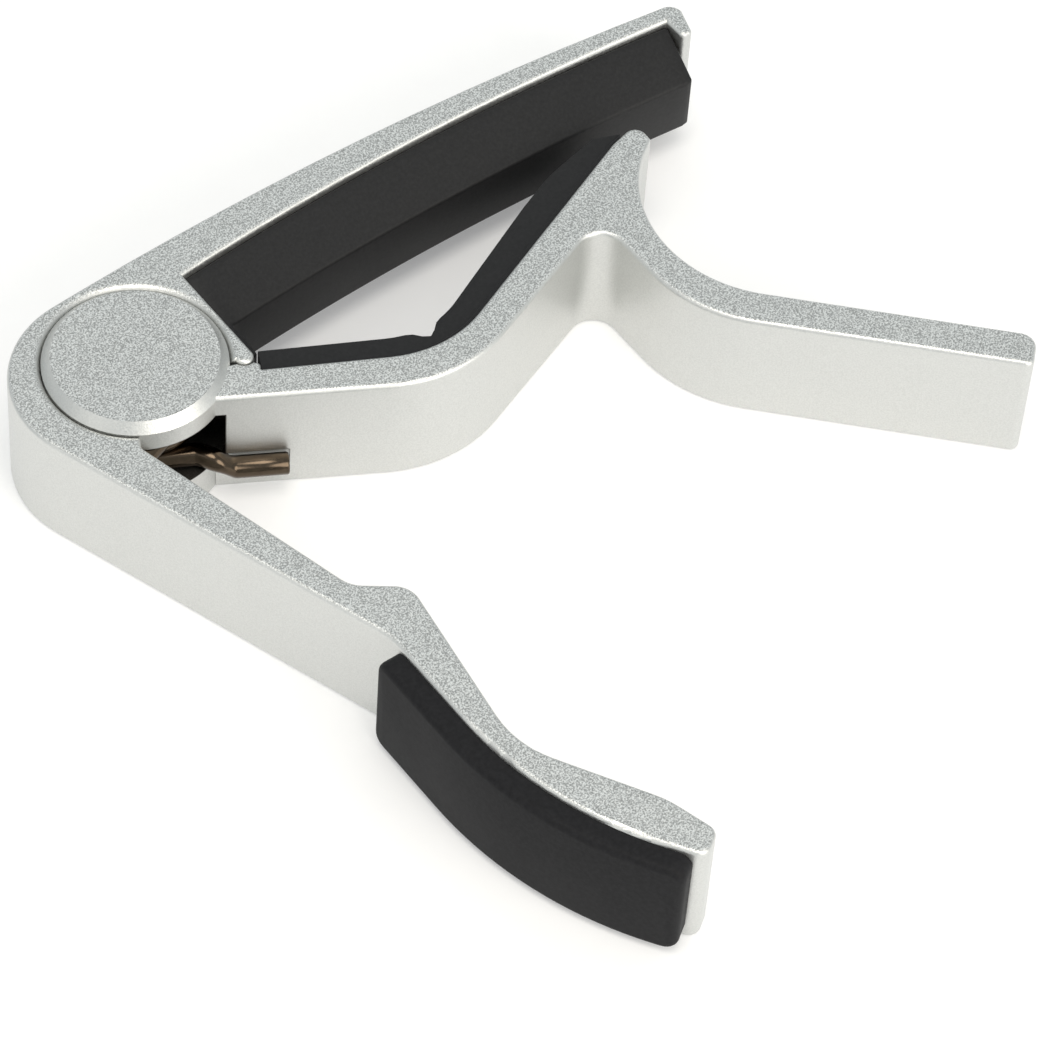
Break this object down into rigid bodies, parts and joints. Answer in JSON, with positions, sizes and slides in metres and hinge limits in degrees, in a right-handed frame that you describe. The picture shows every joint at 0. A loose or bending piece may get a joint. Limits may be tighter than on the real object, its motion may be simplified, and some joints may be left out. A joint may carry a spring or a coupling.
{
  "type": "guitar capo",
  "caption": "Trigger capo: a cast string bar and handle hinged to a spring-loaded arm, with rubber pads that clamp strings to a guitar neck",
  "frame": {"origin": "on the pivot axis, in the flat lower side that the capo rests on", "axes": "+Z is the pivot axis, up from the side the capo rests on; +X runs along the string bar from the pivot to its free end; the two handles point towards -Y"},
  "size_m": [0.0836, 0.0852, 0.0138],
  "materials": {
    "casting": "bead-blasted, bare, fine sparkle",
    "steel": "ground flush",
    "plastic": "moulded nylon, black",
    "spring_wire": "nickel-plated drawn wire, bright",
    "rubber": "moulded, matt, black"
  },
  "bodies": {
    "frame_body": {"frame": "casting", "string_pad": "rubber", "handle_grip": "rubber", "torsion_spring": "spring_wire"},
    "arm_body": {"arm": "casting", "neck_pad": "rubber", "retaining_disc": "casting", "pivot_rivet": "steel", "coil_sleeve": "plastic"}
  },
  "joints": [
    {"name": "jaw_hinge", "type": "hinge", "parent": "frame_body", "child": "arm_body", "pos_m": [0, 0, 0.0065], "axis": [0, 0, -1], "range_deg": [0, 37], "stiffness_Nm_per_rad": 1.2, "springref_deg": -34.38, "deforming": ["torsion_spring"]}
  ]
}
